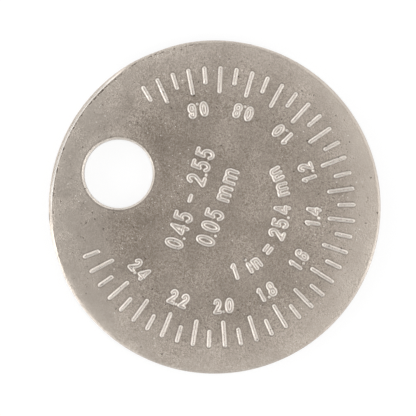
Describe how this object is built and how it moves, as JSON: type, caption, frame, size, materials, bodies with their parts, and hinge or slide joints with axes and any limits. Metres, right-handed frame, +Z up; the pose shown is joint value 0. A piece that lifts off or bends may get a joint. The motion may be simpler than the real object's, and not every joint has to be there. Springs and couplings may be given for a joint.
{
  "type": "spark plug gap gauge",
  "caption": "Coin-shaped spark plug gap gauge: a plated disc whose rim lip thickens round a ramp, with raised scale marks on both faces and a hole to hang it by.",
  "frame": {"origin": "middle of the disc, at the level that its underside rests on", "axes": "+Z up out of the millimetre face, +Y from the disc's middle towards the hang hole"},
  "size_m": [0.034, 0.034, 0.0029],
  "materials": {
    "plated_metal": "satin nickel plate over a fine-grained casting"
  },
  "bodies": {
    "root": {"gauge_disc": "plated_metal"}
  },
  "joints": []
}
